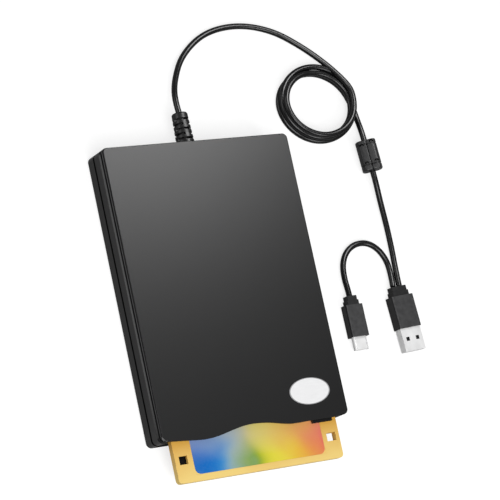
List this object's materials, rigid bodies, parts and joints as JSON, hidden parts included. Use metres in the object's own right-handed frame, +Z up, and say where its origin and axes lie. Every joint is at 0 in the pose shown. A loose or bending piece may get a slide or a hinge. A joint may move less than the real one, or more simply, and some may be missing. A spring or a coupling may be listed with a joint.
{
  "type": "external floppy disk drive",
  "caption": "Flat external diskette drive with waved lid edge, a diskette half out of its slot, loading and head mechanism, coiled USB lead with choke and two plugs.",
  "frame": {"origin": "under the middle of the drive with its ejected diskette, on the surface that it stands on", "axes": "+X to the right seen from the front, +Y from the slot to the rear, +Z up"},
  "size_m": [0.1626, 0.2252, 0.0181],
  "materials": {
    "cover_plastic": "fine-grained black moulding",
    "gloss_black": "polished black moulding",
    "badge_metal": "brushed silver plate",
    "rubber_black": "soft black rubber",
    "zinc_screw": "zinc-plated",
    "sheet_steel": "zinc-plated pressed steel",
    "bright_steel": "ground steel",
    "board_green": "solder-resist green",
    "chip_black": "moulded epoxy",
    "copper": "enamelled copper",
    "ferrite_ring": "sintered ferrite",
    "clear_pipe": "clear moulding",
    "disk_yellow": "fine-grained yellow moulding",
    "disk_label": "printed paper",
    "liner_white": "non-woven fleece",
    "media_brown": "coated film",
    "tab_black": "black moulding",
    "cord_black": "black PVC",
    "carriage_grey": "glass-filled plastic",
    "head_ceramic": "polished ceramic",
    "tongue_dark": "moulded nylon"
  },
  "bodies": {
    "case": {"activity_led": "clear_pipe", "badge": "badge_metal", "bottom_cover": "cover_plastic", "case_screws": "zinc_screw", "chassis": "sheet_steel", "chassis_screws": "zinc_screw", "controller_chips": "chip_black", "cord_coil": "cord_black", "cord_lead": "cord_black", "cord_pigtail": "cord_black", "cord_run": "cord_black", "cord_tail": "cord_black", "ferrite_lower_half": "gloss_black", "ferrite_upper_half": "gloss_black", "front_bezel": "gloss_black", "guide_rod": "bright_steel", "light_pipe": "clear_pipe", "main_board": "board_green", "motor_board": "board_green", "rod_and_screw_blocks": "carriage_grey", "rubber_feet": "rubber_black", "sense_switches": "chip_black", "spindle_bearing": "bright_steel", "stator_coils": "copper", "stator_core": "sheet_steel", "stepper_motor": "sheet_steel", "strain_relief": "cord_black", "top_cover": "cover_plastic", "usb_a_grip": "cord_black", "usb_a_shell": "bright_steel", "usb_a_tongue": "tongue_dark", "usb_board": "board_green", "usb_board_parts": "chip_black", "usb_c_grip": "cord_black", "usb_c_shell": "bright_steel", "usb_c_tongue": "tongue_dark"},
    "spindle": {"rotor_cup": "sheet_steel", "rotor_magnet": "ferrite_ring", "spindle_shaft": "bright_steel", "turntable": "sheet_steel"},
    "holder": {"disk_holder": "sheet_steel", "cam_pins": "bright_steel", "lever_post": "bright_steel"},
    "lever": {"shutter_lever": "sheet_steel"},
    "eject_gear": {"eject_slider": "sheet_steel", "eject_button": "gloss_black"},
    "disk": {"disk_lower_shell": "disk_yellow", "disk_upper_shell": "disk_yellow", "disk_liners": "liner_white", "disk_label": "disk_label"},
    "shutter": {"disk_shutter": "sheet_steel"},
    "protect_tab": {"write_protect_tab": "tab_black"},
    "media": {"magnetic_disc": "media_brown", "disk_hub": "bright_steel"},
    "carriage": {"head_carriage": "carriage_grey", "lower_head": "head_ceramic", "arm_pin": "bright_steel"},
    "head_arm": {"upper_arm": "carriage_grey", "upper_head": "head_ceramic"},
    "screw": {"lead_screw": "bright_steel"}
  },
  "joints": [
    {"name": "eject_slide", "type": "slide", "parent": "case", "child": "eject_gear", "axis": [0, -1, 0], "range_m": [0, 0.0055]},
    {"name": "holder_lift", "type": "slide", "parent": "case", "child": "holder", "axis": [0, 0, -1], "range_m": [0, 0.0016]},
    {"name": "disk_slide", "type": "slide", "parent": "holder", "child": "disk", "axis": [0, 1, 0], "range_m": [0, 0.0208]},
    {"name": "shutter_slide", "type": "slide", "parent": "disk", "child": "shutter", "axis": [-1, 0, 0], "range_m": [0, 0.017]},
    {"name": "lever_swing", "type": "hinge", "parent": "holder", "child": "lever", "pos_m": [0.0394, 0.04368, 0.0156], "axis": [0, 0, -1], "range_deg": [0, 53.2]},
    {"name": "protect_slide", "type": "slide", "parent": "disk", "child": "protect_tab", "axis": [0, 1, 0], "range_m": [0, 0.004]},
    {"name": "media_spin", "type": "hinge", "parent": "disk", "child": "media", "pos_m": [0, -0.033, 0.012], "axis": [0, 0, 1], "continuous": true},
    {"name": "spindle_spin", "type": "hinge", "parent": "case", "child": "spindle", "pos_m": [0, -0.0122, 0.007], "axis": [0, 0, 1], "continuous": true},
    {"name": "carriage_slide", "type": "slide", "parent": "case", "child": "carriage", "axis": [0, -1, 0], "range_m": [0, 0.0148]},
    {"name": "arm_drop", "type": "hinge", "parent": "carriage", "child": "head_arm", "pos_m": [0, 0.052, 0.0156], "axis": [1, 0, 0], "range_deg": [0, 3.4]},
    {"name": "screw_spin", "type": "hinge", "parent": "case", "child": "screw", "pos_m": [-0.015, 0.0273, 0.0074], "axis": [0, 1, 0], "range_deg": [0, 1421]}
  ],
  "couplings": [
    {"joint": "holder_lift", "follows": "eject_slide", "ratio": 0.29091},
    {"joint": "arm_drop", "follows": "eject_slide", "rad_per_m": 10.789},
    {"joint": "shutter_slide", "follows": "disk_slide", "ratio": 0.81731},
    {"joint": "lever_swing", "follows": "disk_slide", "rad_per_m": 44.636},
    {"joint": "screw_spin", "follows": "carriage_slide", "rad_per_m": 1675.5}
  ]
}
